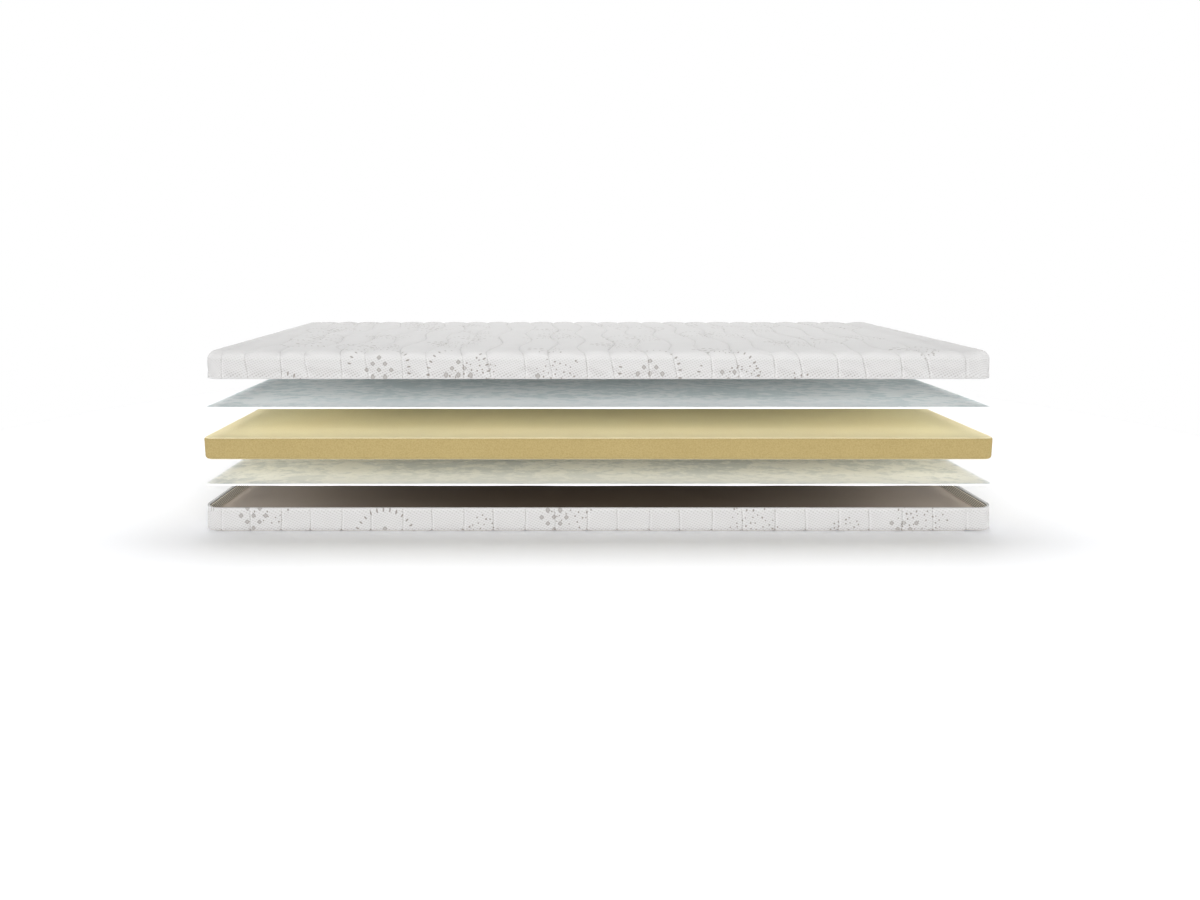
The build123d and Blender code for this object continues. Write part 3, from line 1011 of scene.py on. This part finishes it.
# ================================================================ zip
ZIP_INSET = WALL / 2  # the zip runs along the middle of the wall
TAPE_HALF = 0.0004
TAPE_END = 0.003  # the tape goes on past the last tooth by this much
CORD_HALF = 0.0006
TOOTH_PITCH = 0.0024
# each level of a tooth: half its length along the run, half its depth, distance from the base
TOOTH_LEVELS = (
    (0.0007, 0.0011, 0.0),
    (0.0006, 0.0012, 0.0009),
    (0.0009, 0.0011, 0.0016),
    (0.0009, 0.0009, 0.0022),
    (0.0005, 0.0006, 0.0026),
)


def open_outline(step, gap):
    """The zip's outline from one side of a gap in its back to the other: points, normals, run."""
    points, normals, _ = perimeter(ZIP_INSET, step)
    x, on_back = points[:, 0], points[:, 1] > HALF_Y - CORNER * 0.5
    middle = (gap[0] + gap[1]) / 2
    far = 9.0  # more than any distance on the mattress
    start = int(np.argmin(np.where(on_back & (x < middle), middle - x, far)))
    keep = np.roll(~(on_back & (x > gap[0]) & (x < gap[1])), -start)
    points, normals = (np.roll(values, -start, 0)[keep] for values in (points, normals))
    back_y = HALF_Y - ZIP_INSET
    points = np.vstack([[(gap[0], back_y)], points, [(gap[1], back_y)]])
    normals = np.vstack([[(0.0, 1.0)], normals, [(0.0, 1.0)]])
    return points, normals, run_length(points)


def zip_tape(name, gap, sewn, edge, toward):
    """The tape from inside the hem to the teeth, with a corded edge. toward is 1 up or -1 down."""
    outline = open_outline(0.02, gap)
    cord = (TAPE_HALF, -0.0006), (CORD_HALF, -0.0002), (CORD_HALF, 0.0005), (CORD_HALF / 2, 0.0009)
    section = [(TAPE_HALF, sewn)] + [(out, edge + toward * rise) for out, rise in cord]
    section = np.array(section + [(-out, height) for out, height in section[::-1]])
    xyz, uv = sweep(outline, section, section[:, 1])
    faces = grid_faces(len(outline[0]), len(section), False, True)
    faces += [list(range(len(section)))[::-1], list(range(len(xyz) - len(section), len(xyz)))]
    return make_mesh(name, xyz, flipped(faces) if toward > 0 else faces, uv)


def zip_teeth(name, gap, base, toward, first):
    """One half of the chain: a tooth at every pitch, narrow at the neck and wide at the head."""
    outline = open_outline(0.01, gap)
    where = np.arange(first, outline[2][-1] - TOOTH_PITCH * 0.4, TOOTH_PITCH)
    shape = [
        (side * half_run, out * half_out, base + toward * rise)
        for half_run, half_out, rise in TOOTH_LEVELS
        for side, out in ((-1, -1), (1, -1), (1, 1), (-1, 1))
    ]
    return repeated(name, outline, where, shape, 4, toward > 0, smooth=False)


join_low, join_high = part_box("bottom_zip_stops")
for side, toward, first in (("bottom", 1, 0.5), ("top", -1, 1.0)):
    stops_low, stops_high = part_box(f"{side}_zip_stops")
    tape_low, tape_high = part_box(f"{side}_zip_tape")
    sewn, edge = (tape_low.z, tape_high.z)[::toward]
    gap = join_low.x + TAPE_END, join_high.x - TAPE_END
    tape = zip_tape(f"{side}_tape", gap, sewn, edge, toward)
    dress(tape, TAPE, f"{side}_cover")
    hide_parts(f"{side}_zip_tape")
    gap = stops_low.x, stops_high.x
    teeth = zip_teeth(f"{side}_teeth", gap, edge, toward, first * TOOTH_PITCH)
    dress(teeth, COIL, f"{side}_cover")
    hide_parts(f"{side}_zip_chain")

for node in ("bottom_zip_stops", "top_zip_stops", "zip_slider", "zip_pull_tab"):
    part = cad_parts[node]
    part.data.materials.clear()
    part.data.materials.append(METAL)

# ================================================================ floor, light and camera
bpy.ops.mesh.primitive_circle_add(vertices=96, radius=2.4, fill_type="NGON", location=(0, 0, 0))
floor = bpy.context.object
floor.name = "floor"
floor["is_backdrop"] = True
pale = bpy.data.materials.new("pale_floor")
pale.use_nodes = True
paint = pale.node_tree.nodes["Principled BSDF"].inputs
paint["Base Color"].default_value = (0.950, 0.958, 0.980, 1)
paint["Roughness"].default_value = 0.9
floor.data.materials.append(pale)

scene = bpy.context.scene
scene.view_settings.view_transform = "Standard"
world = bpy.data.worlds.new("studio")
scene.world = world
world.use_nodes = True
nodes, links = world.node_tree.nodes, world.node_tree.links
# A weak sky lights the object, and the camera sees a white backdrop in its place.
choice = nodes.new("ShaderNodeMixShader")
sky, backdrop = nodes["Background"], nodes.new("ShaderNodeBackground")
for shader, strength, socket in ((sky, 0.068, 1), (backdrop, 1.0, 2)):
    shader.inputs["Color"].default_value = (1, 1, 1, 1)
    shader.inputs["Strength"].default_value = strength
    links.new(shader.outputs[0], choice.inputs[socket])
links.new(nodes.new("ShaderNodeLightPath").outputs["Is Camera Ray"], choice.inputs[0])
links.new(choice.outputs[0], nodes["World Output"].inputs[0])


def soft_light(name, location, aim, size, power):
    data = bpy.data.lights.new(name, "AREA")
    data.shape = "RECTANGLE"
    data.size, data.size_y = size
    data.energy = power
    lamp = bpy.data.objects.new(name, data)
    scene.collection.objects.link(lamp)
    lamp.location = location
    lamp.visible_camera = False
    direction = Vector(aim) - lamp.location
    lamp.rotation_euler = direction.to_track_quat("-Z", "Y").to_euler()
    return lamp


soft_light("key", (0.0, 0.63, 3.4), (0, 0.63, 0), (5.0, 1.2), 101)
soft_light("back_key", (0.0, 1.9, 3.4), (0, 0, 0.2), (5.0, 1.4), 45)
soft_light("front_fill", (0.0, -5.0, 2.2), (0, -0.4, 0.25), (6.0, 2.4), 147)
soft_light("low_front_fill", (0.0, -5.0, 0.9), (0, -0.4, 0.25), (6.0, 1.4), 139)
soft_light("left_strip", (-3.4, 0.0, 0.5), (0, 0, 0.2), (3.0, 1.0), 37)
soft_light("right_strip", (3.4, 0.0, 0.5), (0, 0, 0.2), (3.0, 1.0), 37)
low_back = soft_light("low_back_strip", (0.0, 3.2, 0.35), (0, 0, 0.25), (6.0, 0.7), 65)
low_back.visible_glossy = False  # no glare on the layers that it grazes

FRONT_DISTANCE = 2.08  # from the camera to the mattress's front face
CAMERA_HEIGHT = 0.2516 + TOP_HIGH.z
camera_data = bpy.data.cameras.new("camera")
camera_data.lens = 24.79
camera_data.sensor_width = 36
# The camera stays level, so that upright edges stay parallel, and is shifted to frame the object.
camera_data.shift_x = 0.0316
camera_data.shift_y = -0.1652
camera = bpy.data.objects.new("camera", camera_data)
scene.collection.objects.link(camera)
camera.location = (-0.0926, -HALF_Y - FRONT_DISTANCE, CAMERA_HEIGHT)
camera.rotation_euler = (math.pi / 2, 0, 0)
scene.camera = camera

low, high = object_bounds()
